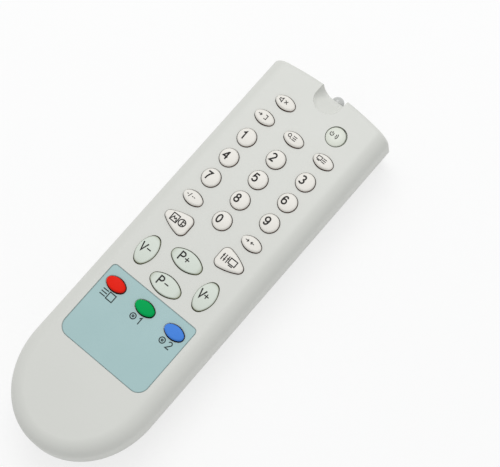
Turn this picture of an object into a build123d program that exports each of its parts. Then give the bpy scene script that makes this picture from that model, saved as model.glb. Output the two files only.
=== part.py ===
"""TV remote control with a rubber keypad, an infrared LED at its head and two AAA cells.

Millimetres. +Y points to the head (the LED end), +Z is up through the keys, and the remote lies
on its back. X = 0 is the middle of its width, Y = 0 the middle of its length with the LED tip,
and Z = 0 the surface that it rests on.
"""

import os
from collections import namedtuple
from math import cos, pi, radians, sin, sqrt, tan

from build123d import *

os.makedirs("parts", exist_ok=True)

# Case: two shells that meet at the height of the LED
case_length = 167.6
case_width = 54.4
case_height = 24.0
parting_height = 12.8
wall = 2.0
top_draft = 1.0
bottom_draft = 15.0
tail_length = 31.0
front_radius = 142.0
front_lean = 1.5
shoulder_radius = 5.6
foot_radius = 8.0
corner_radius = 1.5
inner_corner_radius = 1.0
lip_corner_radius = 1.0
head_room = 6.0
lip_height = 1.2
lip_thickness = 0.8
lip_setback = 0.15
lip_clearance = 0.15

# Infrared LED, and the scoop that clears its beam
led_diameter = 5.0
led_length = 8.6
led_reach = 2.3
led_flange_diameter = 5.8
led_flange_thickness = 1.0
led_clearance = 0.15
led_leg_pitch = 2.54
led_leg_thickness = 0.5
led_leg_bend = 3.6
scoop_half_width = 5.8
scoop_length = 10.6
scoop_roll_radius = 13.0
scoop_back_depth = 0.45
scoop_back_slope = 10.0
scoop_floor_radius = 2.6
scoop_headroom = 4.0
scoop_wall = 1.6

# Keypad: the key in the middle of the last number row is the datum of every key
head_to_datum = 64.5
column_pitch = 14.0
row_pitch = 10.0
mute_x = -11.6
mute_y = 49.1
power_x = 11.2
power_y = 50.4
lobe_x = 12.75
lobe_y = -10.0
program_up_y = -19.4
program_down_y = -31.0
volume_y = -25.2
colour_y = -42.0
number_hole = 7.7
power_key_size = 8.0
power_hole = 8.3
power_hole_shift_x = 0.12
power_hole_shift_y = 0.15
oval_hole_length = 8.7
oval_hole_width = 5.7
program_hole_length = 13.8
program_hole_width = 7.8
volume_hole_length = 12.7
volume_hole_width = 7.8
lobe_hole_length = 11.6
lobe_hole_width = 9.1
lobe_bulge = 1.1
lobe_apex_reach = 1.6
lobe_tip_radius = 2.0
lobe_corner_radius = 2.6
oval_end_share = 1.15
key_gap = 0.27
oval_gap_across = 0.17
oval_gap_along = 0.37
key_travel = 0.9
tall_crown = 1.4
low_crown = 0.95
flush_crown = 0.6
crown_sag = 0.55
crown_edge_share = 0.6
flange_reach = 0.35
flange_thickness = 1.2
flange_clearance = 0.25
plunger_diameter = 4.0

# Silicone sheet under the keys, with a low wall round each key where its web springs from
mat_thickness = 1.0
mat_corner_radius = 3.0
mat_margin = 0.3
plunger_clearance = 0.4
web_gap = 0.2
web_thickness = 0.35
web_rise = 2.0
mat_slot_half_width = 5.4
mat_slot_depth = 3.0

# Circuit board
board_thickness = 1.6
board_depth = 6.2
board_side_gap = 1.2
board_head_margin = 55.4
board_tail_margin = 3.2
board_corner_radius = 2.0

# Printed film round the colour keys
label_half_width = 20.15
label_head = 36.0
label_tail = 67.3
label_head_radius = 1.8
label_tail_radius = 4.5
label_thickness = 0.25
label_recess = 0.35
label_clearance = 0.15

# Cells, and the bay that holds them
cell_diameter = 10.5
cell_length = 44.5
cell_nub_diameter = 3.8
cell_nub_length = 1.1
cell_edge_radius = 0.4
cell_pitch = 11.2
cell_height = 7.9
cell_clearance = 0.3
bay_length = 50.0
bay_to_tail = 9.6
bay_wall = 1.4
shelf_thickness = 1.5

# Contact strips and springs
contact_thickness = 0.4
contact_width = 7.6
contact_height = 7.6
contact_gap = 0.1
contact_tail_width = 2.0
slot_clearance = 0.2
bump_diameter = 3.6
bump_height = 0.5
spring_wire = 0.6
spring_sides = 6
spring_turns = 3
spring_base_diameter = 7.0
spring_tip_diameter = 5.2
spring_weld_depth = 0.1

# Battery cover
cover_length = 64.0
cover_half_width = 18.0
cover_flare = 1.2
cover_gap = 0.25
cover_tail_height = 9.6
tongue_length = 3.0
tongue_half_width = 7.0
lap_clearance = 0.1
grip_ribs = 6
grip_pitch = 2.2
grip_length = 13.0
grip_width = 1.1
grip_depth = 0.5
grip_from_front = 9.0

# Screws
board_screw_diameter = 2.0
board_screw_length = 5.0
board_screw_head = 3.4
board_screw_head_height = 1.3
board_boss_diameter = 3.8
board_screw_head_row = 46.0
board_screw_middle_row = 3.0
board_screw_tail_row = -38.0
case_screw_diameter = 2.3
case_screw_length = 10.0
case_screw_head = 4.0
case_screw_head_height = 1.4
case_boss_diameter = 4.8
case_boss_x = 15.9
case_boss_from_tail = 34.0
case_pillar_height = 3.0
screw_clearance = 0.2
thread_clearance = 0.03
tip_clearance = 0.3
recess_depth = 0.7
recess_width = 0.5
recess_margin = 0.7

# Parts on the underside of the board, placed from its head end or from the battery bay
chip_length = 12.8
chip_width = 7.5
chip_height = 2.3
chip_standoff = 0.1
chip_from_head = 38.0
leg_rows = 10
leg_pitch = 1.27
leg_width = 0.4
leg_thickness = 0.2
leg_shoulder = 0.5
leg_reach = 1.4
resonator_length = 7.0
resonator_width = 3.0
resonator_height = 8.0
resonator_pitch = 5.0
resonator_from_head = 27.0
capacitor_diameter = 5.0
capacitor_length = 11.0
capacitor_pitch = 2.0
capacitor_x = 13.0
capacitor_from_bay = 16.9
transistor_diameter = 4.6
transistor_flat = 1.2
transistor_height = 4.6
transistor_pitch = 1.27
transistor_x = 9.0
transistor_from_head = 11.0
resistor_diameter = 1.8
resistor_length = 3.8
resistor_pitch = 7.5
resistor_spacing = 3.5
resistor_count = 3
resistor_x = -9.0
resistor_from_head = 12.0
lead_diameter = 0.5
lead_standoff = 0.5

# Worked out from the sizes above
half_width = case_width / 2
overall_length = case_length + led_reach
tail_y = -overall_length / 2
front_y = tail_y + case_length
led_tip_y = front_y + led_reach
led_base_y = led_tip_y - led_length
tail_centre_y = tail_y + tail_length
datum_y = front_y - head_to_datum
top_height = case_height - parting_height
ceiling = case_height - wall
board_top = case_height - board_depth
board_bottom = board_top - board_thickness
board_half_width = half_width - wall - board_side_gap
board_front_y = datum_y + board_head_margin
board_boss_x = board_half_width - board_boss_diameter / 2
mat_half_width = board_boss_x - board_boss_diameter / 2 - mat_margin
bay_back_y = tail_y + bay_to_tail
bay_front_y = bay_back_y + bay_length
contact_y = bay_front_y - contact_gap - contact_thickness / 2
board_back_y = min(datum_y + colour_y, contact_y) - board_tail_margin
cover_front_y = tail_y + cover_length
shelf_bottom = wall + cover_gap
shelf_top = shelf_bottom + shelf_thickness
head_seat = shelf_bottom + case_screw_head_height + contact_gap
bay_half_width = cell_pitch / 2 + cell_diameter / 2 + cell_clearance
flange_top = ceiling - flange_clearance
flange_bottom = flange_top - flange_thickness
scoop_back_y = front_y - scoop_length
roll_y = scoop_back_y - scoop_roll_radius * sin(radians(scoop_back_slope))
roll_z = case_height - scoop_back_depth - scoop_roll_radius * cos(radians(scoop_back_slope))
board_screw_rows = (board_screw_head_row, board_screw_middle_row, board_screw_tail_row)
board_screw_places = [
    (side * board_boss_x, datum_y + row) for side in (-1, 1) for row in board_screw_rows
]
case_screw_places = [(side * case_boss_x, tail_y + case_boss_from_tail) for side in (-1, 1)]

# Keys: x and y are from the datum key, length runs across the case and width along it
Key = namedtuple("Key", "name x y shape length width crown")


def number_key(digit, column, row):
    """Round key that carries one digit."""
    x = column * column_pitch
    y = row * row_pitch
    return Key(f"key_{digit}", x, y, "oval", number_hole, number_hole, tall_crown)


def oval_key(name, x, y):
    """Small oval key, longer across the case."""
    return Key(name, x, y, "oval", oval_hole_length, oval_hole_width, tall_crown)


number_keys = [number_key(0, 0, 0)] + [
    number_key(3 * row + column + 1, column - 1, 3 - row) for row in range(3) for column in range(3)
]
oval_keys = [
    oval_key("key_digits", -column_pitch, 0),
    oval_key("key_recall", column_pitch, 0),
    oval_key("key_source", -column_pitch, 4 * row_pitch),
    oval_key("key_search", 0, 4 * row_pitch),
    oval_key("key_display", column_pitch, 4 * row_pitch),
    oval_key("key_mute", mute_x, mute_y),
]
colour_keys = [
    oval_key("key_red", -column_pitch, colour_y),
    oval_key("key_green", 0, colour_y),
    oval_key("key_blue", column_pitch, colour_y),
]
lobe_hole = (lobe_hole_length, lobe_hole_width)
lobe_keys = [
    Key("key_picture", -lobe_x, lobe_y, "left lobe", *lobe_hole, tall_crown),
    Key("key_mode", lobe_x, lobe_y, "right lobe", *lobe_hole, tall_crown),
]
program_hole = (program_hole_length, program_hole_width)
volume_hole = (volume_hole_width, volume_hole_length)
steering_keys = [
    Key("key_program_up", 0, program_up_y, "oval", *program_hole, low_crown),
    Key("key_program_down", 0, program_down_y, "oval", *program_hole, low_crown),
    Key("key_volume_down", -column_pitch, volume_y, "oval", *volume_hole, low_crown),
    Key("key_volume_up", column_pitch, volume_y, "oval", *volume_hole, low_crown),
]
power_key = Key("key_power", power_x, power_y, "oval", power_key_size, power_key_size, flush_crown)
power_opening = power_key._replace(
    x=power_x + power_hole_shift_x, y=power_y + power_hole_shift_y, length=power_hole, width=power_hole
)
keys_in_their_holes = number_keys + oval_keys + lobe_keys + steering_keys + colour_keys
keys = keys_in_their_holes + [power_key]
openings = keys_in_their_holes + [power_opening]


def oval_outline(length, width, grow):
    """Oval of four tangent arcs, two tight ones at its ends and two wide ones along its sides."""
    along = max(length, width) / 2
    across = min(length, width) / 2
    with BuildSketch() as oval:
        if along == across:
            Circle(along + grow)
        else:
            end_radius = oval_end_share * across**2 / along
            side_radius = (along**2 + across**2 - 2 * along * end_radius) / (across - end_radius) / 2
            end_centre = Vector(along - end_radius, 0)
            side_centre = Vector(0, across - side_radius)
            joint = end_centre + (end_centre - side_centre).normalized() * (end_radius + grow)
            reach_x = along + grow
            reach_y = across + grow
            with BuildLine():
                ThreePointArc((-joint.X, joint.Y), (0, reach_y), (joint.X, joint.Y))
                ThreePointArc((joint.X, joint.Y), (reach_x, 0), (joint.X, -joint.Y))
                ThreePointArc((joint.X, -joint.Y), (0, -reach_y), (-joint.X, -joint.Y))
                ThreePointArc((-joint.X, -joint.Y), (-reach_x, 0), (-joint.X, joint.Y))
            make_face()
    return oval.sketch if length >= width else oval.sketch.rotate(Axis.Z, 90)


def lobe_outline(grow, to_left):
    """Rounded triangle with bulging sides, its blunt tip pointing to one side of the case."""
    back = -lobe_hole_length / 2
    corner = lobe_hole_width / 2
    tip = lobe_hole_length / 2 + lobe_apex_reach
    middle = Vector((back + tip) / 2, corner / 2)
    outward = Vector(corner, tip - back).normalized() * lobe_bulge
    rise = middle + outward
    with BuildSketch() as lobe:
        with BuildLine():
            Line((back, -corner), (back, corner))
            ThreePointArc((back, corner), (rise.X, rise.Y), (tip, 0))
            ThreePointArc((tip, 0), (rise.X, -rise.Y), (back, -corner))
        make_face()
        fillet(lobe.vertices().sort_by(Axis.X)[-1], lobe_tip_radius)
        fillet(lobe.vertices().sort_by(Axis.X)[:2], lobe_corner_radius)
        if grow:
            offset(amount=grow)
        if to_left:
            mirror(about=Plane.YZ, mode=Mode.REPLACE)
    return lobe.sketch


def key_prism(key, grow, bottom, top):
    """Straight prism on the outline of a key's hole, grown all round by an amount."""
    if key.shape == "oval":
        outline = oval_outline(key.length, key.width, grow)
    else:
        outline = lobe_outline(grow, key.shape == "left lobe")
    with BuildPart() as prism:
        extrude(Pos(key.x, datum_y + key.y, bottom) * outline, amount=top - bottom, dir=(0, 0, 1))
    return prism.part


def case_plan(inset):
    """Plan of the case: straight sides, a half ellipse round the tail, and room at the head."""
    side = half_width - inset
    end = front_y + head_room
    with BuildSketch() as plan:
        with BuildLine():
            Line((side, tail_centre_y), (side, end))
            Line((side, end), (-side, end))
            Line((-side, end), (-side, tail_centre_y))
            EllipticalCenterArc((0, tail_centre_y), side, tail_length - inset, 180, arc_size=180)
        make_face()
    return plan.sketch


def head_arc(inset, height):
    """Wide shallow cone whose edge is the head's front: an arc that leans back as it rises."""
    radius = front_radius - inset
    with BuildPart() as arc:
        with Locations((0, front_y - front_radius, height / 2)):
            Cone(radius, radius - height * tan(radians(front_lean)), height)
    return arc.part


def case_half(inset, height, draft, edge_radius, rim_radius):
    """Closed block of one shell, standing on its parting plane, inset from the outer walls."""
    plan = case_plan(inset)
    head = head_arc(inset, height)
    with BuildPart() as half:
        extrude(plan, amount=height, taper=draft)
        long_edges = half.faces().sort_by(Axis.Z)[-1].edges().sort_by(Axis.Y)[:-1]
        fillet(long_edges, edge_radius)
        add(head, mode=Mode.INTERSECT)
        front = half.faces().sort_by(Axis.Y)[-1]
        fillet(front.edges().sort_by(Axis.Z)[1:], rim_radius)
    return half.part


def case_slab(inset, height, rim_radius):
    """Layer of the case just above the parting plane, inset from the outer walls."""
    plan = case_plan(inset)
    head = head_arc(inset, height)
    with BuildPart() as slab:
        extrude(plan, amount=height, taper=top_draft)
        add(head, mode=Mode.INTERSECT)
        front = slab.faces().sort_by(Axis.Y)[-1]
        fillet(front.edges().sort_by(Axis.Z)[1:-1], rim_radius)
    return slab.part


def scoop(grow):
    """Slot with a round back whose floor rolls down over the LED, or the outside of its wall."""
    half = scoop_half_width + grow
    with BuildPart() as bowl:
        with BuildSketch(Plane.XY.offset(parting_height)):
            with Locations((0, scoop_back_y + scoop_half_width)):
                Circle(half)
                Rectangle(2 * half, scoop_length, align=(Align.CENTER, Align.MIN))
        extrude(amount=top_height + scoop_headroom)
        with Locations((0, roll_y, roll_z)):
            Cylinder(
                scoop_roll_radius - grow, 3 * half, rotation=(0, 90, 0), mode=Mode.SUBTRACT
            )
        walls = bowl.faces().filter_by(GeomType.PLANE, reverse=True).sort_by(Axis.Y)
        floor_edges = walls[-1].edges().filter_by_position(
            Axis.Z, parting_height + wall, case_height, inclusive=(True, True)
        )
        fillet(floor_edges, scoop_floor_radius + grow)
    return bowl.part


def lying_cylinder(radius, y_from, y_to, x=0, z=parting_height):
    """Cylinder that lies along the case."""
    with BuildPart() as rod:
        with Locations((x, (y_from + y_to) / 2, z)):
            Cylinder(radius, y_to - y_from, rotation=(90, 0, 0))
    return rod.part


def finish(piece, name):
    """Name one piece and write its file."""
    piece.part.label = name
    export_step(piece.part, f"parts/{name}.step")


# Blocks that the two shells are cut from
raise_to_parting = Pos(0, 0, parting_height)
top_block = raise_to_parting * case_half(0, top_height, top_draft, shoulder_radius, corner_radius)
top_hollow = raise_to_parting * case_half(
    wall, top_height - wall, top_draft, shoulder_radius - wall, inner_corner_radius
)
bottom_block = raise_to_parting * mirror(
    case_half(0, parting_height, bottom_draft, foot_radius, corner_radius), about=Plane.XY
)
bottom_hollow = raise_to_parting * mirror(
    case_half(wall, parting_height - wall, bottom_draft, foot_radius - wall, inner_corner_radius),
    about=Plane.XY,
)
lip_inset = wall - lip_setback - lip_thickness
lip_outside = raise_to_parting * case_slab(lip_inset, lip_height, lip_corner_radius)
lip_inside = raise_to_parting * case_slab(wall - lip_setback, lip_height, inner_corner_radius)
rebate_inset = lip_inset - lip_clearance
rebate = raise_to_parting * case_slab(
    rebate_inset, lip_height + lip_clearance, lip_corner_radius + lip_clearance
)
led_hole = lying_cylinder(led_diameter / 2 + led_clearance, led_base_y, led_tip_y + led_reach)
led_flange_pocket = lying_cylinder(
    led_flange_diameter / 2 + led_clearance,
    led_base_y - led_clearance,
    led_base_y + led_flange_thickness + led_clearance,
)

# Top case: thin shell with the key holes, the label recess, the scoop and the screw bosses
key_holes = [key_prism(opening, 0, ceiling, case_height) for opening in openings]
with BuildPart() as scoop_shell:
    add(scoop(scoop_wall))
    add(top_hollow, mode=Mode.INTERSECT)
with BuildPart() as label_outline:
    with BuildSketch(Plane.XY.offset(case_height - label_recess)) as label_shape:
        with Locations((0, datum_y - (label_head + label_tail) / 2)):
            Rectangle(2 * label_half_width, label_tail - label_head)
        corners = label_shape.vertices().group_by(Axis.Y)
        fillet(corners[-1], label_head_radius)
        fillet(label_shape.vertices().group_by(Axis.Y)[0], label_tail_radius)
    extrude(amount=label_recess)
with BuildPart() as top_case:
    add(top_block)
    add(top_hollow, mode=Mode.SUBTRACT)
    add(rebate, mode=Mode.SUBTRACT)
    add(scoop_shell.part)
    add(scoop(0), mode=Mode.SUBTRACT)
    add(led_hole, mode=Mode.SUBTRACT)
    add(led_flange_pocket, mode=Mode.SUBTRACT)
    add(key_holes, mode=Mode.SUBTRACT)
    add(label_outline.part, mode=Mode.SUBTRACT)
    with BuildSketch(Plane.XY.offset(board_top)):
        with Locations(*board_screw_places):
            Circle(board_boss_diameter / 2)
    extrude(amount=ceiling - board_top)
    pillar_top = shelf_top + case_pillar_height
    with BuildSketch(Plane.XY.offset(pillar_top)):
        with Locations(*case_screw_places):
            Circle(case_boss_diameter / 2)
    extrude(amount=ceiling - pillar_top)
    with BuildSketch(Plane.XY.offset(board_top)):
        with Locations(*board_screw_places):
            Circle(board_screw_diameter / 2 + thread_clearance)
    board_screw_tip = board_bottom + board_screw_length
    extrude(amount=board_screw_tip + tip_clearance - board_top, mode=Mode.SUBTRACT)
    with BuildSketch(Plane.XY.offset(pillar_top)):
        with Locations(*case_screw_places):
            Circle(case_screw_diameter / 2 + thread_clearance)
    case_screw_tip = head_seat + case_screw_length
    extrude(amount=case_screw_tip + tip_clearance - pillar_top, mode=Mode.SUBTRACT)
finish(top_case, "top_case")


# Battery cover: a piece of the bottom shell with flared edges, so it only leaves along the case
def cover_window(gap):
    """Everything within the cover's edges, grown by a gap, from the back to its top at the tail."""
    top = cover_tail_height + gap
    foot = cover_half_width + gap
    shoulder = foot + cover_flare * top / wall
    front = cover_front_y + gap
    with BuildSketch(Plane.XZ.offset(-front)) as flared:
        with BuildLine():
            Polyline((-foot, 0), (foot, 0), (shoulder, top), (-shoulder, top), close=True)
        make_face()
    with BuildPart() as window:
        extrude(flared.sketch, amount=front - tail_y + wall, dir=(0, -1, 0))
    return window.part


tongue_foot = wall / 2 + lap_clearance
with BuildPart() as battery_cover:
    add(bottom_block)
    add(bottom_hollow, mode=Mode.SUBTRACT)
    add(cover_window(0), mode=Mode.INTERSECT)
    with BuildSketch(Plane.XY.offset(tongue_foot)):
        with Locations((0, cover_front_y - bay_wall)):
            Rectangle(
                2 * tongue_half_width, tongue_length + bay_wall, align=(Align.CENTER, Align.MIN)
            )
    extrude(amount=wall - tongue_foot)
    with BuildSketch(Plane.XY):
        grip_y = cover_front_y - grip_from_front - grip_pitch * (grip_ribs - 1) / 2
        with Locations((0, grip_y)):
            with GridLocations(0, grip_pitch, 1, grip_ribs):
                SlotOverall(grip_length, grip_width)
    extrude(amount=grip_depth, mode=Mode.SUBTRACT)
finish(battery_cover, "battery_cover")

# Bottom case: shell, battery bay with a trough over each cell, shelf above the cover, screw pillars
bay_middle_y = (bay_front_y + bay_back_y) / 2
bay_outside = bay_half_width + bay_wall
trough_radius = cell_diameter / 2 + cell_clearance
bay_roof = cell_height + trough_radius + bay_wall
shelf_front_y = cover_front_y + tongue_length + bay_wall
shelf_back_y = bay_back_y - bay_wall
tail_roof = cover_tail_height + cover_gap
with BuildPart() as inside_bottom:
    add(bottom_hollow)
    with Locations((0, bay_middle_y, parting_height)):
        Box(
            2 * bay_outside,
            bay_length + 2 * bay_wall,
            bay_roof - parting_height,
            align=(Align.CENTER, Align.CENTER, Align.MIN),
        )
with BuildPart() as cover_clearance:
    add(cover_window(cover_gap))
    add(
        raise_to_parting
        * mirror(
            case_half(
                wall + cover_gap,
                parting_height - wall - cover_gap,
                bottom_draft,
                foot_radius - wall - cover_gap,
                inner_corner_radius,
            ),
            about=Plane.XY,
        ),
        mode=Mode.SUBTRACT,
    )
with BuildPart() as case_lip:
    add(lip_outside)
    add(lip_inside, mode=Mode.SUBTRACT)
with BuildPart() as bottom_case:
    with BuildSketch(Plane.XY.offset(wall / 2)):
        with Locations((0, shelf_front_y)):
            Rectangle(case_width, shelf_front_y - shelf_back_y, align=(Align.CENTER, Align.MAX))
    extrude(amount=shelf_top - wall / 2)
    with BuildSketch(Plane.XY.offset(shelf_bottom)):
        with Locations((0, bay_middle_y)):
            Rectangle(2 * bay_outside, bay_length + 2 * bay_wall)
    extrude(amount=bay_roof - shelf_bottom)
    with BuildSketch(Plane.XY.offset(shelf_bottom)):
        with Locations((0, bay_back_y)):
            Rectangle(case_width, bay_wall, align=(Align.CENTER, Align.MAX))
    extrude(amount=tail_roof + bay_wall - shelf_bottom)
    with BuildSketch(Plane.XY.offset(tail_roof)):
        with Locations((0, bay_back_y)):
            Rectangle(case_width, bay_to_tail, align=(Align.CENTER, Align.MAX))
    extrude(amount=bay_wall)
    with BuildSketch(Plane.XY.offset(shelf_top)):
        with Locations(*case_screw_places):
            Circle(case_boss_diameter / 2)
    extrude(amount=case_pillar_height - screw_clearance)
    add(inside_bottom.part, mode=Mode.INTERSECT)
    with BuildSketch(Plane.XY):
        with Locations((0, bay_middle_y)):
            Rectangle(2 * bay_half_width, bay_length)
    extrude(amount=cell_height, mode=Mode.SUBTRACT)
    for side in (-1, 1):
        trough = lying_cylinder(
            trough_radius, bay_back_y, bay_front_y, side * cell_pitch / 2, cell_height
        )
        add(trough, mode=Mode.SUBTRACT)
    with BuildSketch(Plane.XY.offset(cell_height)):
        with Locations((-cell_pitch / 2, contact_y), (cell_pitch / 2, contact_y)):
            Rectangle(
                contact_tail_width + 2 * slot_clearance, contact_thickness + 2 * slot_clearance
            )
    extrude(amount=bay_roof, mode=Mode.SUBTRACT)
    with Locations((0, bay_back_y + contact_gap + contact_thickness / 2, cell_height)):
        Box(
            2 * bay_half_width,
            contact_thickness + 2 * contact_gap,
            contact_height + 2 * contact_gap,
            mode=Mode.SUBTRACT,
        )
    shell = bottom_block - bottom_hollow
    add(shell)
    add(case_lip.part)
    add(cover_clearance.part, mode=Mode.SUBTRACT)
    add(led_hole, mode=Mode.SUBTRACT)
    add(led_flange_pocket, mode=Mode.SUBTRACT)
    with BuildSketch(Plane.XY.offset(wall / 2)):
        with Locations((0, cover_front_y)):
            Rectangle(
                2 * (tongue_half_width + cover_gap),
                tongue_length + cover_gap,
                align=(Align.CENTER, Align.MIN),
            )
    extrude(amount=shelf_bottom - wall / 2, mode=Mode.SUBTRACT)
    with BuildSketch(Plane.XY.offset(shelf_bottom)):
        with Locations(*case_screw_places):
            Circle(case_screw_head / 2 + screw_clearance)
    extrude(amount=head_seat - shelf_bottom, mode=Mode.SUBTRACT)
    with BuildSketch(Plane.XY.offset(head_seat)):
        with Locations(*case_screw_places):
            Circle(case_screw_diameter / 2 + screw_clearance)
    extrude(amount=case_pillar_height, mode=Mode.SUBTRACT)
finish(bottom_case, "bottom_case")

# Printed label: thin film in the recess, with a hole round each colour key
label_shape_inner = offset(label_shape.sketch, amount=-label_clearance)
colour_key_holes = [
    key_prism(key, label_clearance, case_height - label_recess, case_height) for key in colour_keys
]
with BuildPart() as label_panel:
    extrude(label_shape_inner, amount=label_thickness)
    add(colour_key_holes, mode=Mode.SUBTRACT)
finish(label_panel, "label_panel")

# Keys: crown with a shallow dome, shank through the case, flange that stops it, plunger. An oval
# key is closer to its hole across the case than along it, whichever way the oval lies.
for key in keys:
    crown_top = case_height + key.crown
    reach = max(key.length, key.width) / 2
    dome_radius = (reach**2 + crown_sag**2) / (2 * crown_sag)
    if key.shape == "oval" and key.length != key.width:
        slim = key._replace(
            length=key.length - 2 * oval_gap_across, width=key.width - 2 * oval_gap_along
        )
        shank = key_prism(slim, 0, flange_bottom, crown_top)
    else:
        shank = key_prism(key, -key_gap, flange_bottom, crown_top)
    flange = key_prism(key, flange_reach, flange_bottom, flange_top)
    with BuildPart() as cap:
        add(shank)
        with Locations((key.x, datum_y + key.y, crown_top - dome_radius)):
            Sphere(dome_radius, mode=Mode.INTERSECT)
        crown_edges = cap.faces().sort_by(Axis.Z)[-1].edges()
        fillet(crown_edges, crown_edge_share * key.crown)
        add(flange)
        with BuildSketch(Plane.XY.offset(board_top + key_travel)):
            with Locations((key.x, datum_y + key.y)):
                Circle(plunger_diameter / 2)
        extrude(amount=flange_bottom - board_top - key_travel)
    finish(cap, key.name)

# Keypad mat: sheet on the board with a hole for each plunger and a low wall round each flange
web_inside = flange_reach + web_gap
mat_top = board_top + mat_thickness
web_rings = [key_prism(key, web_inside + web_thickness, board_top, mat_top + web_rise) for key in keys]
web_wells = [key_prism(key, web_inside, mat_top, mat_top + web_rise) for key in keys]
with BuildPart() as keypad_mat:
    with BuildSketch(Plane.XY.offset(board_top)) as sheet:
        mat_back = board_back_y + mat_thickness
        with Locations((0, mat_back)):
            Rectangle(
                2 * mat_half_width, board_front_y - mat_back, align=(Align.CENTER, Align.MIN)
            )
        fillet(sheet.vertices(), mat_corner_radius)
        with Locations((0, board_front_y)):
            Rectangle(
                2 * mat_slot_half_width,
                mat_slot_depth,
                align=(Align.CENTER, Align.MAX),
                mode=Mode.SUBTRACT,
            )
    extrude(amount=mat_thickness)
    add(web_rings)
    add(web_wells, mode=Mode.SUBTRACT)
    with BuildSketch(Plane.XY.offset(board_top)):
        with Locations(*[(key.x, datum_y + key.y) for key in keys]):
            Circle(plunger_diameter / 2 + plunger_clearance)
    extrude(amount=mat_thickness, mode=Mode.SUBTRACT)
finish(keypad_mat, "keypad_mat")

# Circuit board: drilled for its screws, the LED's legs and the battery contacts
leg_places = [
    (side * led_leg_pitch / 2, led_base_y - led_leg_bend) for side in (-1, 1)
]
with BuildPart() as circuit_board:
    with BuildSketch(Plane.XY.offset(board_bottom)) as outline:
        with Locations((0, board_back_y)):
            Rectangle(
                2 * board_half_width, board_front_y - board_back_y, align=(Align.CENTER, Align.MIN)
            )
        fillet(outline.vertices(), board_corner_radius)
        with Locations(*board_screw_places):
            Circle(board_screw_diameter / 2 + screw_clearance, mode=Mode.SUBTRACT)
        with Locations(*leg_places):
            Circle(led_leg_thickness, mode=Mode.SUBTRACT)
        with Locations((-cell_pitch / 2, contact_y), (cell_pitch / 2, contact_y)):
            Rectangle(
                contact_tail_width + 2 * slot_clearance,
                contact_thickness + 2 * slot_clearance,
                mode=Mode.SUBTRACT,
            )
    extrude(amount=board_thickness)
finish(circuit_board, "circuit_board")

# Infrared LED: flanged body with a round nose, legs bent up into the board
with BuildPart() as ir_led:
    add(lying_cylinder(led_diameter / 2, led_base_y, led_tip_y - led_diameter / 2))
    add(lying_cylinder(led_flange_diameter / 2, led_base_y, led_base_y + led_flange_thickness))
    with Locations((0, led_tip_y - led_diameter / 2, parting_height)):
        Sphere(led_diameter / 2)
    for x, y in leg_places:
        with BuildLine():
            FilletPolyline(
                (x, led_base_y, parting_height),
                (x, y, parting_height),
                (x, y, board_top),
                radius=led_leg_thickness,
            )
        with BuildSketch(Plane((x, led_base_y, parting_height), z_dir=(0, -1, 0))):
            Rectangle(led_leg_thickness, led_leg_thickness)
        sweep()
finish(ir_led, "ir_led")


def screw(head, head_height, diameter, length, name, places, seat):
    """Pan-head screws with a cross recess, heads down, under seats at one height."""
    recess_length = head - 2 * recess_margin
    upwards = (Align.CENTER, Align.CENTER, Align.MIN)
    with BuildPart() as screws:
        with Locations(*[(x, y, seat - head_height) for x, y in places]):
            Cylinder(head / 2, head_height, align=upwards)
            Box(recess_length, recess_width, recess_depth, align=upwards, mode=Mode.SUBTRACT)
            Box(recess_width, recess_length, recess_depth, align=upwards, mode=Mode.SUBTRACT)
        with Locations(*[(x, y, seat) for x, y in places]):
            Cylinder(diameter / 2, length, align=upwards)
    finish(screws, name)


screw(
    board_screw_head,
    board_screw_head_height,
    board_screw_diameter,
    board_screw_length,
    "board_screws",
    board_screw_places,
    board_bottom,
)
screw(
    case_screw_head,
    case_screw_head_height,
    case_screw_diameter,
    case_screw_length,
    "case_screws",
    case_screw_places,
    head_seat,
)

# Cells: the right one points its nub to the head, the left one to the tail
head_face = contact_y - contact_thickness / 2
tail_face = bay_back_y + contact_gap + contact_thickness
nub_ends = {1: head_face - contact_gap, -1: tail_face + bump_height + contact_gap}
flat_ends = {side: nub_y - side * cell_length for side, nub_y in nub_ends.items()}
for side, name in ((-1, "cell_left"), (1, "cell_right")):
    can_y = nub_ends[side] - side * cell_nub_length
    can = sorted((can_y, flat_ends[side]))
    nub = sorted((can_y, nub_ends[side]))
    with BuildPart() as cell:
        add(lying_cylinder(cell_diameter / 2, *can, side * cell_pitch / 2, cell_height))
        fillet(cell.edges().filter_by(GeomType.CIRCLE), cell_edge_radius)
        add(lying_cylinder(cell_nub_diameter / 2, *nub, side * cell_pitch / 2, cell_height))
    finish(cell, name)


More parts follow.
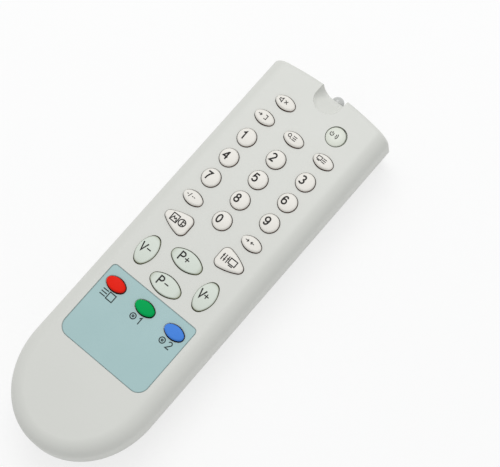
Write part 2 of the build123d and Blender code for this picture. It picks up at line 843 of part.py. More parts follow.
# Contacts: tinned strips at both ends of the bay, with a cone-shaped coil spring at each flat end
def spring(x, seat_y, end_y):
    """Coil welded to a plate at seat_y that narrows as it rises and ends just short of end_y.

    Each half turn of the wire is a biarc: two arcs that are tangent to each other and to the
    helix at their ends.
    """
    forward = 1 if end_y > seat_y else -1
    half_turns = 2 * spring_turns
    start_y = seat_y + forward * (spring_wire / 2 - spring_weld_depth)
    rise = (end_y - forward * (contact_gap + spring_wire / 2) - start_y) / half_turns
    base = (spring_base_diameter - spring_wire) / 2
    shrink = (spring_tip_diameter - spring_base_diameter) / 2 / half_turns

    def place(step):
        radius = base + shrink * step
        turn = pi * step
        return Vector(
            x + radius * cos(turn), start_y + rise * step, cell_height + radius * sin(turn)
        )

    def heading(step):
        radius = base + shrink * step
        turn = pi * step
        across = shrink * cos(turn) - pi * radius * sin(turn)
        upward = shrink * sin(turn) + pi * radius * cos(turn)
        return Vector(across, rise, upward).normalized()

    with BuildPart() as coil:
        with BuildLine():
            for step in range(half_turns):
                first, last = place(step), place(step + 1)
                leaving, arriving = heading(step), heading(step + 1)
                chord = last - first
                spread = 2 * (1 - leaving.dot(arriving))
                along = chord.dot(leaving + arriving)
                reach = (sqrt(along**2 + spread * chord.dot(chord)) - along) / spread
                middle = (first + last + (leaving - arriving) * reach) * 0.5
                lead_in = TangentArc(first, middle, tangent=leaving)
                TangentArc(middle, last, tangent=lead_in % 1)
        with BuildSketch(Plane(place(0), z_dir=heading(0))):
            RegularPolygon(spring_wire / 2, spring_sides)
        sweep()
    return coil.part


contact_foot = cell_height - contact_height / 2
head_spring = spring(-cell_pitch / 2, head_face, flat_ends[-1])
tail_spring = spring(cell_pitch / 2, tail_face, flat_ends[1])
for side, name in ((-1, "contact_negative"), (1, "contact_positive")):
    with BuildPart() as contact:
        with Locations((side * cell_pitch / 2, contact_y, contact_foot)):
            upwards = (Align.CENTER, Align.CENTER, Align.MIN)
            Box(contact_width, contact_thickness, contact_height, align=upwards)
            tail_height = board_top - contact_gap - contact_foot
            Box(contact_tail_width, contact_thickness, tail_height, align=upwards)
        if side < 0:
            add(head_spring)
    finish(contact, name)
with BuildPart() as contact_bridge:
    with Locations((0, tail_face - contact_thickness / 2, cell_height)):
        Box(cell_pitch + contact_width, contact_thickness, contact_height)
    add(
        lying_cylinder(
            bump_diameter / 2, tail_face, tail_face + bump_height, -cell_pitch / 2, cell_height
        )
    )
    add(tail_spring)
finish(contact_bridge, "contact_bridge")


# Parts under the board, each standing off it on its leads
def leads(places, foot):
    """Round leads that run from a part up to the underside of the board."""
    with BuildPart() as wires:
        with BuildSketch(Plane.XY.offset(foot)):
            with Locations(*places):
                Circle(lead_diameter / 2)
        extrude(amount=board_bottom - foot)
    return wires.part


downwards = (Align.CENTER, Align.CENTER, Align.MAX)
part_top = board_bottom - lead_standoff

# Controller chip: two rows of legs that step from the body to the board
chip_y = board_front_y - chip_from_head
chip_side = chip_width / 2
chip_top = board_bottom - chip_standoff
leg_level = chip_top - chip_height / 2
with BuildPart() as chip_leg:
    with BuildSketch(Plane.XZ.offset(-chip_y)):
        with BuildLine():
            Polyline(
                (chip_side - leg_thickness, leg_level),
                (chip_side + leg_shoulder, leg_level),
                (chip_side + leg_shoulder, board_bottom - leg_thickness),
                (chip_side + leg_reach, board_bottom - leg_thickness),
                (chip_side + leg_reach, board_bottom),
                (chip_side + leg_shoulder - leg_thickness, board_bottom),
                (chip_side + leg_shoulder - leg_thickness, leg_level + leg_thickness),
                (chip_side - leg_thickness, leg_level + leg_thickness),
                close=True,
            )
        make_face()
    extrude(amount=leg_width / 2, both=True)
with BuildPart() as controller_chip:
    with GridLocations(0, leg_pitch, 1, leg_rows):
        add(chip_leg.part)
    mirror(about=Plane.YZ)
    with Locations((0, chip_y, chip_top)):
        Box(chip_width, chip_length, chip_height, align=downwards)
finish(controller_chip, "controller_chip")

# Ceramic resonator: flat block on two leads
resonator_y = board_front_y - resonator_from_head
resonator_leads = leads([(side * resonator_pitch / 2, resonator_y) for side in (-1, 1)], part_top)
with BuildPart() as resonator:
    with Locations((0, resonator_y, part_top)):
        Box(resonator_length, resonator_width, resonator_height, align=downwards)
    add(resonator_leads)
finish(resonator, "resonator")

# Electrolytic capacitor: round can on two leads
capacitor_y = bay_front_y + capacitor_from_bay
capacitor_leads = leads(
    [(capacitor_x + side * capacitor_pitch / 2, capacitor_y) for side in (-1, 1)], part_top
)
with BuildPart() as capacitor:
    with Locations((capacitor_x, capacitor_y, part_top)):
        Cylinder(capacitor_diameter / 2, capacitor_length, align=downwards)
    add(capacitor_leads)
finish(capacitor, "capacitor")

# Transistor that drives the LED: round body with one flat face, on three leads
transistor_y = board_front_y - transistor_from_head
transistor_leads = leads(
    [(transistor_x + place * transistor_pitch, transistor_y) for place in (-1, 0, 1)], part_top
)
with BuildPart() as transistor:
    with BuildSketch(Plane.XY.offset(part_top - transistor_height)):
        with Locations((transistor_x, transistor_y)):
            Circle(transistor_diameter / 2)
        with Locations((transistor_x, transistor_y + transistor_flat)):
            Rectangle(
                transistor_diameter,
                transistor_diameter,
                align=(Align.CENTER, Align.MIN),
                mode=Mode.SUBTRACT,
            )
    extrude(amount=transistor_height)
    add(transistor_leads)
finish(transistor, "transistor")

# Resistors: round bodies that lie in a row, each on a straight wire with a lead at either end
resistor_z = part_top - resistor_diameter / 2
resistor_rows = [
    board_front_y - resistor_from_head - place * resistor_spacing for place in range(resistor_count)
]
resistor_leads = leads(
    [(resistor_x + side * resistor_pitch / 2, y) for side in (-1, 1) for y in resistor_rows],
    resistor_z - lead_diameter / 2,
)
with BuildPart() as resistors:
    with Locations(*[(resistor_x, y, resistor_z) for y in resistor_rows]):
        Cylinder(resistor_diameter / 2, resistor_length, rotation=(0, 90, 0))
        Cylinder(lead_diameter / 2, resistor_pitch, rotation=(0, 90, 0))
    add(resistor_leads)
finish(resistors, "resistors")
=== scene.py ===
"""Looks of the TV remote control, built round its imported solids, in metres and in their frame."""

import math

import bmesh
import bpy
import numpy as np
from mathutils import Matrix, Vector


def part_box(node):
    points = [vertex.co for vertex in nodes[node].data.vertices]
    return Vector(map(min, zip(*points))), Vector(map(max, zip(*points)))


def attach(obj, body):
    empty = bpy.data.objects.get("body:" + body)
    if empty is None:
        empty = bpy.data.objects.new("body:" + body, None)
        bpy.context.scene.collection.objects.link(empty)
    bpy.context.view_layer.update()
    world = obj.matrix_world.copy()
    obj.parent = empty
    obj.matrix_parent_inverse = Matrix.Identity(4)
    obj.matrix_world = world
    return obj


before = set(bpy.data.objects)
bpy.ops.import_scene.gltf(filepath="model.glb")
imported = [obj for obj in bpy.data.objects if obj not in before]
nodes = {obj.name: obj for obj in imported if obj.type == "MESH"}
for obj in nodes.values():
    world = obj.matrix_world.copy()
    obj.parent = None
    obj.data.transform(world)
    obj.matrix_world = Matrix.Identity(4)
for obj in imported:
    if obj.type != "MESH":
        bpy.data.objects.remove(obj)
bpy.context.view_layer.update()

# Camera: held over the right side of the tail, more than half a metre up, and turned about its
# own axis so that the remote runs from the bottom left of the picture to the top right.
camera_place = Vector((0.1649, -0.0780, 0.5517))
camera_aim = Vector((0.0109, 0.0209, 0.0240))
camera_turn = math.radians(-17.545)
camera_data = bpy.data.cameras.new("camera")
camera_data.lens = 112.32
camera_data.sensor_width = 36.0
camera = bpy.data.objects.new("camera", camera_data)
bpy.context.scene.collection.objects.link(camera)
aim = (camera_aim - camera_place).to_track_quat("-Z", "Y").to_matrix().to_4x4()
camera.matrix_world = Matrix.Translation(camera_place) @ aim @ Matrix.Rotation(camera_turn, 4, "Z")
bpy.context.scene.camera = camera
bpy.context.scene.view_settings.view_transform = "Standard"


# Studio: white paper under the remote, a softbox overhead, past the head and to the left, and
# even light from all round. The paper has a painted glow that grows from 0.7 near the remote to
# full white away from it, so that it keeps its shadow.
class Wire:
    """A socket of a material. Arithmetic on it adds Math nodes, and make() adds any other node."""

    def __init__(self, tree, socket=None):
        self.tree = tree
        self.socket = socket

    def make(self, kind, values, settings=None, output=0):
        """Adds a node, with its settings first, and returns one of its outputs."""
        node = self.tree.nodes.new(kind)
        for name, value in (settings or {}).items():
            setattr(node, name, value)
        for name, value in values.items():
            if isinstance(value, Wire):
                self.tree.links.new(value.socket, node.inputs[name])
            else:
                node.inputs[name].default_value = value
        return Wire(self.tree, node.outputs[output] if node.outputs else None)

    def math(self, operation, *values, clamp=False):
        """A Math node, with its values in the order of its sockets."""
        settings = {"operation": operation, "use_clamp": clamp}
        return self.make("ShaderNodeMath", dict(enumerate(values)), settings)

    def __add__(self, other):
        return self.math("ADD", self, other)

    def __sub__(self, other):
        return self.math("SUBTRACT", self, other)

    def __rsub__(self, other):
        return self.math("SUBTRACT", other, self)

    def __mul__(self, other):
        return self.math("MULTIPLY", self, other)

    __radd__ = __add__
    __rmul__ = __mul__

    def part(self, axis):
        """One coordinate of a vector."""
        return self.make("ShaderNodeSeparateXYZ", {"Vector": self}, output=axis)

    def noise(self, per_metre, detail=2.0, roughness=0.5):
        """Noise from 0 to 1 whose grains are about 1 / per_metre across."""
        values = {"Vector": self, "Scale": per_metre, "Detail": detail, "Roughness": roughness}
        return self.make("ShaderNodeTexNoise", values)

    def seen(self):
        """1 for rays that show a surface as it is: from the camera, a mirror or glass."""
        straight = self.make("ShaderNodeLightPath", {}, output="Is Camera Ray")
        mirrored = self.make("ShaderNodeLightPath", {}, output="Is Glossy Ray")
        through = self.make("ShaderNodeLightPath", {}, output="Is Transmission Ray")
        return self.math("ADD", straight + mirrored, through, clamp=True)

    def step(self, low, high):
        """Smooth rise from 0 at low to 1 at high."""
        values = {"Value": self, "From Min": low, "From Max": high}
        return self.make("ShaderNodeMapRange", values, {"interpolation_type": "SMOOTHSTEP"})

    def blend(self, first, second):
        """First colour where this wire is 0, second where it is 1."""
        values = {"Factor": self, "A": first, "B": second}
        return self.make("ShaderNodeMix", values, {"data_type": "RGBA"}, output=2)


def color(red, green, blue):
    """A colour given in the 0 to 255 steps of a picture, as the linear light that shaders use."""
    steps = np.array((red, green, blue)) / 255
    linear = np.where(steps > 0.04045, ((steps + 0.055) / 1.055) ** 2.4, steps / 12.92)
    return (*linear.tolist(), 1.0)


def material(name, roughness, **fixed):
    """Material with fixed sockets set, its place wire, and a function that feeds the others."""
    made = bpy.data.materials.new(name)
    made.use_nodes = True
    surface = made.node_tree.nodes["Principled BSDF"]
    surface.inputs["Roughness"].default_value = roughness
    for socket, value in fixed.items():
        surface.inputs[socket.replace("_", " ")].default_value = value
    start = Wire(made.node_tree)
    place = start.make("ShaderNodeTexCoord", {}, output="Object")

    def feed(socket, value):
        """Links a wire to a socket of the shader, or sets it where the value is fixed."""
        if isinstance(value, Wire):
            made.node_tree.links.new(value.socket, surface.inputs[socket])
        else:
            surface.inputs[socket].default_value = value

    def grain(height, depth):
        """Bump whose relief is depth metres where height goes from 0 to 1."""
        feed("Normal", start.make("ShaderNodeBump", {"Height": height, "Distance": depth}))

    return made, place, feed, grain


def wear(piece, made):
    """Gives an object its material."""
    piece.data.materials.clear()
    piece.data.materials.append(made)


paper, place, feed, grain = material("paper", 0.9, Specular_IOR_Level=0.1)
feed("Base Color", place.noise(6.0).blend(color(247, 247, 246), color(250, 250, 249)))
lit = Wire(paper.node_tree, paper.node_tree.nodes["Principled BSDF"].outputs[0])
glow = place.make("ShaderNodeEmission", {"Color": (1.0, 1.0, 1.0, 1.0), "Strength": 1.0})
away = place.make("ShaderNodeVectorMath", {0: place}, {"operation": "LENGTH"}, output="Value")
white_near = 0.7
edge_of_grey = 0.14
edge_of_white = 0.6
# Painted light: for rays that show the paper, a white glow is mixed in, more of it away from the
# remote.
painted_glow_share = place.seen() * (white_near + (1 - white_near) * away.step(edge_of_grey, edge_of_white))
faded = place.make("ShaderNodeMixShader", {0: painted_glow_share, 1: lit, 2: glow})
paper.node_tree.links.new(faded.socket, paper.node_tree.nodes["Material Output"].inputs["Surface"])
floor_half = 3.0
floor_depth = 0.00005
floor_mesh = bpy.data.meshes.new("floor")
corners = np.array([(-1, -1, 0), (1, -1, 0), (1, 1, 0), (-1, 1, 0)]) * floor_half
floor_mesh.from_pydata((corners - (0, 0, floor_depth)).tolist(), [], [(0, 1, 2, 3)])
floor = bpy.data.objects.new("floor", floor_mesh)
bpy.context.scene.collection.objects.link(floor)
wear(floor, paper)

softbox_place = Vector((-0.25, 0.40, 0.90))
lamp = bpy.data.lights.new("softbox", "AREA")
lamp.size = 0.70
lamp.energy = 4.3
softbox = bpy.data.objects.new("softbox", lamp)
softbox.location = softbox_place
softbox.rotation_euler = (-softbox_place).to_track_quat("-Z", "Y").to_euler()
bpy.context.scene.collection.objects.link(softbox)

world = bpy.data.worlds.new("room")
world.use_nodes = True
bpy.context.scene.world = world
world.node_tree.nodes.clear()
room = Wire(world.node_tree)
even = room.make("ShaderNodeBackground", {"Color": color(252, 253, 255), "Strength": 0.64})
white = room.make("ShaderNodeBackground", {"Color": (1.0, 1.0, 1.0, 1.0), "Strength": 1.0})
mixed = room.make("ShaderNodeMixShader", {0: room.seen(), 1: even, 2: white})
room.make("ShaderNodeOutputWorld", {"Surface": mixed})

# Case: the two shells and the sliding battery cover, injection moulded in warm light grey ABS.
# The tool was finely spark eroded, which leaves a satin skin with a grain too fine to feel. Where
# the shells meet, their edges are eased, and a fine line of painted shade runs round the case.
case_plastic, place, feed, grain = material("case_plastic", 0.42, Specular_IOR_Level=0.45)
parting_height = 0.0128
half_seam_shade = 0.00008
# Painted shade: a band of darker grey at the parting height, where the shells meet.
seam_shade_off = place.math("ABSOLUTE", place.part("Z") - parting_height).step(half_seam_shade, 2 * half_seam_shade)
moulded = place.noise(22.0, detail=3.0).blend(color(209, 210, 204), color(215, 216, 210))
feed("Base Color", seam_shade_off.blend(color(150, 150, 142), moulded))
feed("Roughness", 0.38 + 0.08 * place.noise(600.0))
grain(seam_shade_off + 0.1 * place.noise(5200.0, detail=3.0), 0.00012)
for name in ("top_case", "bottom_case", "battery_cover"):
    wear(nodes[name], case_plastic)

# Keys: soft buttons of the silicone keypad, each moulded in its own colour, with a skin that the
# mould leaves slightly uneven. Their roots, where they pass the case, darken to a painted shade.
film_below_face = 0.0001
case_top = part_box("label_panel")[1][2] + film_below_face
root_shade_low = case_top + 0.0001
root_shade_high = case_top + 0.0007


def rubber(name, shade, tinge, root_shade_color, shine):
    """Silicone of one colour, paler in places, that darkens to a painted shade of another colour at
    the root of the key.
    """
    roughness = 0.44
    made, place, feed, grain = material(name, roughness, Specular_IOR_Level=shine)
    # Painted shade: below this band, just over the face of the case, the key takes its root colour.
    above_root_shade = place.part("Z").step(root_shade_low, root_shade_high)
    body = place.noise(160.0, detail=3.0).blend(color(*shade), color(*tinge))
    feed("Base Color", above_root_shade.blend(color(*root_shade_color), body))
    feed("Roughness", roughness + 0.06 * place.noise(900.0))
    grain(place.noise(3000.0, detail=3.0), 0.00001)
    return made


white_rubber = rubber("white_rubber", (230, 227, 219), (235, 232, 225), (104, 72, 58), 0.4)
mint_rubber = rubber("mint_rubber", (208, 216, 205), (214, 221, 211), (112, 114, 74), 0.4)
red_rubber = rubber("red_rubber", (228, 30, 14), (234, 38, 20), (48, 8, 6), 0.08)
green_rubber = rubber("green_rubber", (0, 160, 80), (2, 168, 86), (2, 34, 16), 0.05)
blue_rubber = rubber("blue_rubber", (70, 130, 220), (80, 140, 226), (8, 20, 56), 0.08)
flush_rubber = rubber("flush_rubber", (224, 228, 217), (229, 232, 222), (214, 218, 206), 0.4)
mint_keys = ("program_up", "program_down", "volume_up", "volume_down")
key_rubbers = {f"key_{name}": mint_rubber for name in mint_keys}
key_rubbers.update(key_red=red_rubber, key_green=green_rubber, key_blue=blue_rubber)
key_rubbers["key_power"] = flush_rubber
key_names = [name for name in nodes if name.startswith("key_")]
for name in key_names:
    wear(nodes[name], key_rubbers.get(name, white_rubber))

# Label: a printed polycarbonate film, glued into a shallow recess round the colour keys. It is
# pale teal, a little uneven in tone, with a satin face a hair below the case.
label_film, place, feed, grain = material("label_film", 0.34, Specular_IOR_Level=0.5)
label_low, label_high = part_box("label_panel")
film = place.noise(45.0, detail=2.0).blend(color(152, 184, 184), color(162, 193, 193))
feed("Base Color", film)
feed("Roughness", 0.30 + 0.08 * place.noise(400.0))
grain(place.noise(2500.0), 0.000006)
wear(nodes["label_panel"], label_film)

# Digits: screen-printed ink a few hundredths of a millimetre thick, on the crowns of the keys.
# Each is drawn with an even stroke, in millimetres about the middle of the digit.
ink, place, feed, grain = material("ink", 0.5, Specular_IOR_Level=0.2)
feed("Base Color", place.noise(700.0, detail=3.0).blend(color(16, 12, 11), color(26, 21, 19)))
ink_lift = 0.00003
crown_sag = 0.00055
flange_reach = 0.00035
fine_edge = 0.0006
rounds_of_cuts = 3
degrees_apart = 15
least_cosine = 0.4
digit_stroke = 0.6
digit_shift = (-1.1, 0.0)


def arc(x, y, across, up, start=0, stop=360):
    """Points of an ellipse's arc: (x + across * cos t, y + up * sin t), t in degrees."""
    turn = np.radians(np.linspace(start, stop, 2 + int(abs(stop - start) / degrees_apart)))
    return np.stack([x + across * np.cos(turn), y + up * np.sin(turn)], axis=1).tolist()


def stroke(path, width, closed):
    """Flat ribbon as (points, faces): each point of the path moves to both sides along the line
    that halves its corner, by half the width over the cosine of half the turn."""
    path = np.array(path)
    after = np.roll(path, -1, axis=0) - path
    after /= np.linalg.norm(after, axis=1, keepdims=True) + 1e-12
    before = np.roll(after, 1, axis=0)
    if not closed:
        before[0] = after[0]
        after[-1] = before[-1]
    halving = before + after
    halving /= np.linalg.norm(halving, axis=1, keepdims=True)
    cosine = (halving * after).sum(axis=1, keepdims=True).clip(least_cosine, 1.0)
    side = np.stack([-halving[:, 1], halving[:, 0]], axis=1) * width / 2 / cosine
    count = len(path)
    first = np.arange(count if closed else count - 1)
    last = (first + 1) % count
    faces = np.stack([first, first + count, last + count, last], axis=1)
    return np.concatenate([path + side, path - side]), faces


def crown(name):
    """Height of a key's crown over a place: a sphere through its top whose sag is set at the rim
    of its hole, top - R + sqrt(R*R - d*d)."""
    low, high = (np.array(corner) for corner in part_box(name))
    middle = (low + high)[:2] / 2
    reach = (high - low)[:2].max() / 2 - flange_reach
    radius = (reach**2 + crown_sag**2) / (2 * crown_sag)

    def height(points):
        away = ((points - middle) ** 2).sum(axis=1)
        return high[2] - radius + np.sqrt(radius**2 - away)

    return middle, height


def lay_strokes(name, marks, middle, shift, height, body, ink_or_painted_shade=ink):
    """One mesh of ink or of painted shade: strokes in millimetres as (path, width, closed), moved
    to their place, cut until no edge is long, and laid on a surface whose height is a function of x
    and y."""
    ribbons = [stroke(*mark) for mark in marks]
    starts = np.cumsum([0] + [len(points) for points, faces in ribbons])
    points = (np.concatenate([points for points, faces in ribbons]) + shift) * 0.001 + middle
    faces = np.concatenate([faces + start for (_, faces), start in zip(ribbons, starts)])
    mesh = bpy.data.meshes.new(name)
    mesh.from_pydata(np.pad(points, ((0, 0), (0, 1))).tolist(), [], faces.tolist())
    shape = bmesh.new()
    shape.from_mesh(mesh)
    for _ in range(rounds_of_cuts):
        long_edges = [edge for edge in shape.edges if edge.calc_length() > fine_edge]
        bmesh.ops.subdivide_edges(shape, edges=long_edges, cuts=1)
    bmesh.ops.triangulate(shape, faces=shape.faces[:])
    shape.to_mesh(mesh)
    shape.free()
    points = np.empty(len(mesh.vertices) * 3)
    mesh.vertices.foreach_get("co", points)
    points = points.reshape(-1, 3)
    points[:, 2] = height(points[:, :2]) + ink_lift
    mesh.vertices.foreach_set("co", points.ravel())
    mesh.update()
    piece = bpy.data.objects.new(name, mesh)
    bpy.context.scene.collection.objects.link(piece)
    wear(piece, ink_or_painted_shade)
    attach(piece, body)


six_sweep = arc(0.0, 0.0, 0.88, 1.53, 38, 180) + [(-0.88, -0.6)]
six_bowl = arc(0.0, -0.62, 0.88, 0.91)[:-1]
nine_sweep = [(-x, -y) for x, y in six_sweep]
nine_bowl = [(-x, -y) for x, y in six_bowl]
digits = [
    [(arc(0.0, 0.0, 0.85, 1.53)[:-1], True)],
    [([(-0.75, 0.85), (-0.2, 1.1), (0.15, 1.53), (0.15, -1.7)], False)],
    [(arc(0.0, 0.68, 0.85, 0.85, 165, -30) + [(-0.68, -1.5), (0.95, -1.5)], False)],
    [
        (arc(-0.05, 0.78, 0.78, 0.75, 155, -90), False),
        (arc(-0.05, -0.75, 0.9, 0.78, 90, -155), False),
    ],
    [
        ([(0.45, -1.7), (0.45, 1.7)], False),
        ([(0.45, 1.53), (-0.95, -0.6), (1.0, -0.6)], False),
    ],
    [([(0.85, 1.53), (-0.55, 1.53), (-0.78, 0.05)] + arc(0.0, -0.55, 0.9, 0.98, 135, -150), False)],
    [(six_sweep, False), (six_bowl, True)],
    [([(-0.95, 1.53), (0.9, 1.53), (0.25, 0.5), (-0.15, -0.6), (-0.3, -1.7)], False)],
    [(arc(0.0, 0.8, 0.72, 0.73)[:-1], True), (arc(0.0, -0.72, 0.88, 0.81)[:-1], True)],
    [(nine_sweep, False), (nine_bowl, True)],
]
for digit, lines in enumerate(digits):
    middle, height = crown(f"key_{digit}")
    marks = [(path, digit_stroke, closed) for path, closed in lines]
    lay_strokes(f"print_{digit}", marks, middle, digit_shift, height, f"key_{digit}")

# Steering keys: P and V beside a plus or minus sign, in the same ink as the digits. The print of
# the two V keys sits further to the right, so that no ink reaches their rounded edge.
letter_stroke = 0.56
minus_stroke = 0.42
plus_stroke = 0.4
p_shift = (0.0, 0.1)
v_shift = (0.35, 0.1)
p_bowl = arc(-2.3, 0.97, 0.85, 0.83, 90, -90)
letter_p = [([(-3.2, -1.6), (-3.2, 1.8)] + p_bowl + [(-3.2, 0.14)], letter_stroke, False)]
letter_v = [([(-3.0, 1.75), (-2.0, -1.6), (-0.9, 1.75)], letter_stroke, False)]
minus_sign = [([(-0.5, 0.2), (1.3, 0.2)], minus_stroke, False)]
plus_sign = [
    ([(-0.9, 0.15), (1.1, 0.15)], plus_stroke, False),
    ([(0.1, -0.85), (0.1, 1.1)], plus_stroke, False),
]
steering = {
    "program_up": (letter_p + plus_sign, p_shift),
    "program_down": (letter_p + minus_sign, p_shift),
    "volume_up": (letter_v + plus_sign, v_shift),
    "volume_down": (letter_v + minus_sign, v_shift),
}
for name, (marks, shift) in steering.items():
    middle, height = crown(f"key_{name}")
    lay_strokes(f"print_{name}", marks, middle, shift, height, f"key_{name}")

# Small pictures: line drawings in pairs that say what a key does without a word, such as a speaker
# beside a cross for mute. Each is drawn in a square of about 2 by 2 and scaled as it is printed.
speaker = [([(-0.9, -0.4), (-0.3, -0.4), (0.5, -1), (0.5, 1), (-0.3, 0.4), (-0.9, 0.4)], True)]
waves = [(arc(-0.9, 0.0, 0.7, 0.9, -50, 50), False), (arc(-0.9, 0.0, 1.4, 1.5, -50, 50), False)]
cross = [([(-0.6, -0.7), (0.7, 0.7)], False), ([(-0.6, 0.7), (0.7, -0.7)], False)]
screen = [([(-1, -0.6), (1, -0.6), (1, 0.9), (-1, 0.9)], True), ([(-0.6, -1), (0.6, -1)], False)]
hills = [([(-0.9, -0.8), (-0.3, 0.3), (0.1, -0.3), (0.4, 0.1), (0.9, -0.8)], False)]
contrast = [
    (arc(0.0, 0.0, 0.95, 0.95)[:-1], True),
    ([(0, -0.95), (0, 0.95)], False),
    ([(0, 0.4), (0.85, 0.4)], False),
    ([(0, -0.4), (0.85, -0.4)], False),
]
frame_box = [([(-1, -1), (1, -1), (1, 1), (-1, 1)], True)]
box_open = [([(-0.2, 0.9), (0.9, 0.9), (0.9, -0.9), (-0.2, -0.9)], False)]
arrow = [([(-1, 0), (0.5, 0)], False), ([(0, 0.6), (0.6, 0), (0, -0.6)], False)]
arrow_back = [([(1, 0), (-0.5, 0)], False), ([(0, 0.6), (-0.6, 0), (0, -0.6)], False)]
lens = [(arc(-0.2, 0.25, 0.7, 0.7)[:-1], True), ([(0.35, -0.3), (1, -1)], False)]
rows = [([(-0.9, level), (0.9, level)], False) for level in (0.8, 0.0, -0.8)]
sliders = [
    ([(-0.8, -1), (-0.8, 1)], False),
    ([(0.0, -1), (0.0, 1)], False),
    ([(0.8, -1), (0.8, 1)], False),
    ([(-1.1, 0.4), (-0.5, 0.4)], False),
    ([(-0.3, -0.4), (0.3, -0.4)], False),
    ([(0.5, 0.2), (1.1, 0.2)], False),
]
dashes = [([(-1, 0), (-0.3, 0)], False), ([(0.2, -1), (0.8, 1)], False)]
dashes_after = [([(-0.7, 0), (-0.1, 0)], False), ([(0.2, 0), (0.8, 0)], False)]
gear = [(arc(0, 0, 0.8, 0.8)[:-1], True), (arc(0, 0, 0.25, 0.25)[:-1], True)]
switch = [(arc(0, 0, 0.8, 0.8, 125, 415), False), ([(0, 0.1), (0, 1.1)], False)]
small_one = [([(-0.5, 0.5), (0, 1), (0, -1)], False)]
small_two = [(arc(0.0, 0.45, 0.55, 0.55, 165, -30) + [(-0.55, -1), (0.6, -1)], False)]
drawing_pitch = 2.3


def caption(drawings, scale, width):
    """Drawings side by side in millimetres, their pitch a little over their own width."""
    marks = []
    for place_in_row, drawing in enumerate(drawings):
        across = (place_in_row - (len(drawings) - 1) / 2) * drawing_pitch
        for path, closed in drawing:
            marks.append(((np.array(path) + (across, 0)) * scale, width, closed))
    return marks


small = (0.9, 0.3)
large = (1.45, 0.4)
caption_shift = (-0.7, 0.1)
picture_shift = (0.55, 0.1)
captions = {
    "mute": caption([speaker, cross], *small),
    "source": caption([arrow, box_open], *small),
    "search": caption([lens, rows], *small),
    "display": caption([screen, rows], *small),
    "recall": caption([arrow, arrow_back], *small),
    "digits": caption([dashes, dashes_after], *small),
    "picture": caption([frame_box + hills, contrast], *large),
    "mode": caption([sliders, screen], *large),
    "power": caption([switch, waves], *small),
}
for name, marks in captions.items():
    middle, height = crown(f"key_{name}")
    shift = picture_shift if name == "picture" else caption_shift
    lay_strokes(f"print_{name}", marks, middle, shift, height, f"key_{name}")

# Label print: below each colour key, in nearly black ink, two small pictures or a picture and a
# number. A thin line of darker teal just inside the rim of the film is painted shade at the edge
# of its recess.
label_ink, place, feed, grain = material("label_ink", 0.5, Specular_IOR_Level=0.2)
feed("Base Color", place.noise(700.0, detail=3.0).blend(color(26, 38, 38), color(38, 50, 50)))
# Painted shade: a darker teal ribbon just inside the rim of the film, where the recess edge is.
label_edge_shade, place, feed, grain = material("label_edge_shade", 0.4)
feed("Base Color", place.noise(700.0, detail=3.0).blend(color(112, 138, 140), color(126, 152, 153)))
edge_inset = 0.12
head_radius = 1.65 - edge_inset
tail_radius = 4.35 - edge_inset
left, tail = np.array(label_low)[:2] * 1000 + edge_inset
right, head = np.array(label_high)[:2] * 1000 - edge_inset
edge_line = (
    arc(right - head_radius, head - head_radius, head_radius, head_radius, 0, 90)
    + arc(left + head_radius, head - head_radius, head_radius, head_radius, 90, 180)
    + arc(left + tail_radius, tail + tail_radius, tail_radius, tail_radius, 180, 270)
    + arc(right - tail_radius, tail + tail_radius, tail_radius, tail_radius, 270, 360)
)


def film_height(points):
    """The flat top of the film."""
    return np.full(len(points), label_high[2])


# The ring of painted shade is 0.2 mm wide and is laid on the film's flat top.
rim_stroke = 0.2
rim = [(edge_line, rim_stroke, True)]
lay_strokes("label_edge_painted_shade", rim, np.zeros(2), (0.0, 0.0), film_height, "housing", label_edge_shade)
medium = (1.4, 0.4)
label_captions = {
    "red": caption([rows, frame_box], *medium),
    "green": caption([gear, small_one], *medium),
    "blue": caption([gear, small_two], *medium),
}
below = (0.0, -4.7)
for name, marks in label_captions.items():
    middle, height = crown(f"key_{name}")
    lay_strokes(f"print_label_{name}", marks, middle, below, film_height, "housing", label_ink)

# LED: a 5 mm dome of milky epoxy in the scoop at the head, on two tinned legs that bend up into
# the board. Its flange sits in a pocket between the two shells.
tin = color(198, 198, 194)
tin_roughness = 0.26
tin_fade = 0.0001


def coated(finish, shade, tinge, roughness, bare):
    """Body colour where the mask that bare makes of the place wire is 0, tin where it is 1."""
    made, place, feed, grain = material(finish, roughness)
    metal = bare(place)
    body = place.noise(260.0, detail=3.0).blend(shade, tinge)
    feed("Base Color", metal.blend(body, tin))
    feed("Metallic", metal)
    feed("Roughness", roughness + (tin_roughness - roughness) * metal)
    grain(place.noise(2600.0, detail=2.0), 0.000012)
    return made


led_length = 0.0086
led_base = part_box("ir_led")[1][1] - led_length
led_resin = coated(
    "led_resin",
    color(184, 186, 184),
    color(194, 195, 192),
    0.14,
    lambda place: 1 - place.part("Y").step(led_base - tin_fade, led_base),
)
wear(nodes["ir_led"], led_resin)

# Keypad sheet: pale silicone, moulded in one piece, that lies on the board. A low wall stands
# round each key, and its face has a fine skin.
sheet_rubber, place, feed, grain = material("sheet_rubber", 0.55, Specular_IOR_Level=0.4)
feed("Base Color", place.noise(120.0, detail=3.0).blend(color(198, 198, 190), color(208, 207, 200)))
grain(place.noise(2200.0, detail=3.0), 0.00002)
wear(nodes["keypad_mat"], sheet_rubber)

# Circuit board: brown phenolic laminate. Its underside, where the parts are soldered, has copper
# tracks under green lacquer, some along the board and some across it, and tinned pads.
laminate, place, feed, grain = material("laminate", 0.48)
board_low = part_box("circuit_board")[0][2]
track_pitch = 0.00127
half_track = 0.0002
pad_radius = 0.0005
skin = 0.00005
underside = 1 - place.part("Z").step(board_low + skin, board_low + 2 * skin)


def fold(axis, pitch):
    """Distance along an axis from the nearest line of a grid."""
    return place.math("PINGPONG", place.part(axis), pitch / 2)


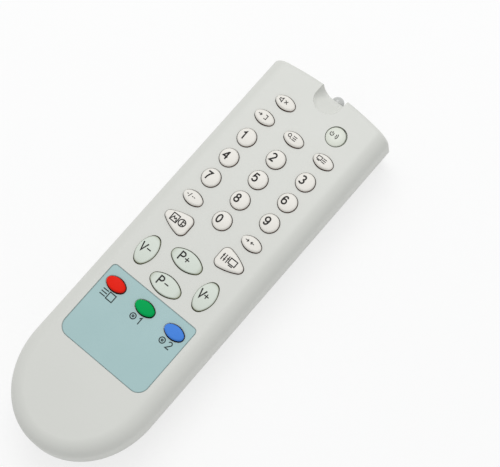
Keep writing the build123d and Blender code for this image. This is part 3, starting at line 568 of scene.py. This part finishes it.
track_edge = half_track + 0.00004
across = 1 - fold("Y", track_pitch).step(half_track, track_edge)
lengthwise = 1 - fold("X", track_pitch).step(half_track, track_edge)
quarter = place.noise(75.0, detail=0.0).step(0.49, 0.50)
laid = place.noise(180.0, detail=0.0).step(0.40, 0.41)
track = (quarter * lengthwise + (1 - quarter) * across) * laid * underside
from_pad_x = fold("X", 2 * track_pitch)
from_pad_y = fold("Y", 2 * track_pitch)
off_pad = from_pad_x * from_pad_x + from_pad_y * from_pad_y
drilled = place.noise(330.0, detail=0.0).step(0.54, 0.55)
pad = (1 - off_pad.step(0.9 * pad_radius**2, 1.1 * pad_radius**2)) * drilled * underside
resin = place.noise(90.0, detail=4.0).blend(color(166, 122, 68), color(186, 140, 84))
feed("Base Color", pad.blend(track.blend(resin, color(112, 120, 72)), tin))
feed("Metallic", pad)
feed("Roughness", 0.5 - 0.2 * track)
grain(track + pad + 0.1 * place.noise(1500.0), 0.00004)
wear(nodes["circuit_board"], laminate)

# Controller chip: black moulded epoxy with two rows of tinned legs, one along each side, that
# step up to the underside of the board.
chip_half_width = 0.00378
chip_leg_start = chip_half_width + tin_fade
chip_epoxy = coated(
    "chip_epoxy",
    color(34, 34, 36),
    color(42, 42, 43),
    0.55,
    lambda place: place.math("ABSOLUTE", place.part("X")).step(chip_half_width, chip_leg_start),
)
wear(nodes["controller_chip"], chip_epoxy)

# Resonator, capacitor and transistor: a dipped ceramic block, a can in a plain dark sleeve and a
# black epoxy button, each standing off the board on its tinned leads.
def above(level):
    """Mask of what lies over a height."""
    return lambda place: place.part("Z").step(level, level + tin_fade)


lead_standoff = 0.0005
lead_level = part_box("resonator")[1][2] - lead_standoff
standing = {
    "resonator": (color(64, 98, 166), color(74, 110, 180), 0.35),
    "capacitor": (color(30, 34, 52), color(38, 42, 62), 0.32),
    "transistor": (color(34, 33, 34), color(44, 43, 44), 0.5),
}
for name, (shade, tinge, roughness) in standing.items():
    wear(nodes[name], coated(f"{name}_coat", shade, tinge, roughness, above(lead_level)))

# Resistors: three tan lacquered rods with three colour bands and a gold one. Each lies along a
# straight tinned wire whose ends turn up to the board.
resistor_middle = (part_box("resistors")[0][0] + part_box("resistors")[1][0]) / 2
rod_half_length = 0.0019
band_half_width = 0.00022
band_edge = 0.00005
bands = [
    (-0.0012, color(104, 56, 26)),
    (-0.0006, color(28, 26, 26)),
    (0.0, color(176, 40, 30)),
    (0.0011, color(178, 138, 52)),
]
lacquer, place, feed, grain = material("lacquer", 0.4)
along = place.part("X") - resistor_middle
rod = place.noise(400.0).blend(color(196, 166, 120), color(206, 178, 134))
for middle_of_band, shade in bands:
    off_band = place.math("ABSOLUTE", along - middle_of_band)
    rod = off_band.step(band_half_width, band_half_width + band_edge).blend(shade, rod)
wire_end = place.math("ABSOLUTE", along).step(rod_half_length, rod_half_length + band_edge)
feed("Base Color", wire_end.blend(rod, tin))
feed("Metallic", wire_end)
grain(place.noise(2400.0), 0.00001)
wear(nodes["resistors"], lacquer)

# Metal: zinc-plated steel screws with a cross in their heads, and battery contacts cut from
# nickel-plated spring steel, two of them with a coil welded on.
screws = ("board_screws", "case_screws")
contacts = ("contact_positive", "contact_negative", "contact_bridge")
plated = {
    "zinc_plate": (0.36, (184, 186, 184), (204, 205, 201), screws),
    "nickel_plate": (0.26, (198, 196, 188), (216, 214, 206), contacts),
}
for finish, (roughness, shade, tinge, pieces) in plated.items():
    made, place, feed, grain = material(finish, roughness, Metallic=1.0)
    dulled = place.noise(500.0, detail=4.0)
    feed("Base Color", dulled.blend(color(*shade), color(*tinge)))
    feed("Roughness", roughness + 0.14 * dulled)
    grain(place.noise(3600.0, detail=3.0), 0.000008)
    for name in pieces:
        wear(nodes[name], made)

# Cells: two AAA cells, head to tail, each a steel can in a plain blue-grey shrink wrap with two
# pale rules round the end that carries the nub, and bare steel at both ends.
nub_length = 0.0011
half_rule = 0.0006
rule_fade = 0.00006
steel_fade = 0.00005
rule_places = (0.0075, 0.0105)


def cell_wrap(name, towards):
    """Wrap of one cell, whose nub points to +Y or -Y: bands across a wire that grows that way."""
    low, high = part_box(name)
    ends = sorted((towards * low[1], towards * high[1]))
    made, place, feed, grain = material(f"wrap_{name}", 0.28)
    along = towards * place.part("Y")
    shoulder = ends[1] - nub_length
    bare_base = 1 - along.step(ends[0], ends[0] + steel_fade)
    steel = along.step(shoulder - steel_fade, shoulder) + bare_base
    wrap = place.noise(60.0).blend(color(70, 92, 112), color(78, 101, 121))
    for rule_place in rule_places:
        off_rule = place.math("ABSOLUTE", along - (shoulder - rule_place))
        wrap = off_rule.step(half_rule, half_rule + rule_fade).blend(color(214, 214, 208), wrap)
    feed("Base Color", steel.blend(wrap, tin))
    feed("Metallic", steel)
    feed("Roughness", 0.26 + 0.08 * place.noise(700.0))
    grain(place.noise(1400.0, detail=2.0), 0.00001)
    return made


wear(nodes["cell_left"], cell_wrap("cell_left", -1))
wear(nodes["cell_right"], cell_wrap("cell_right", 1))
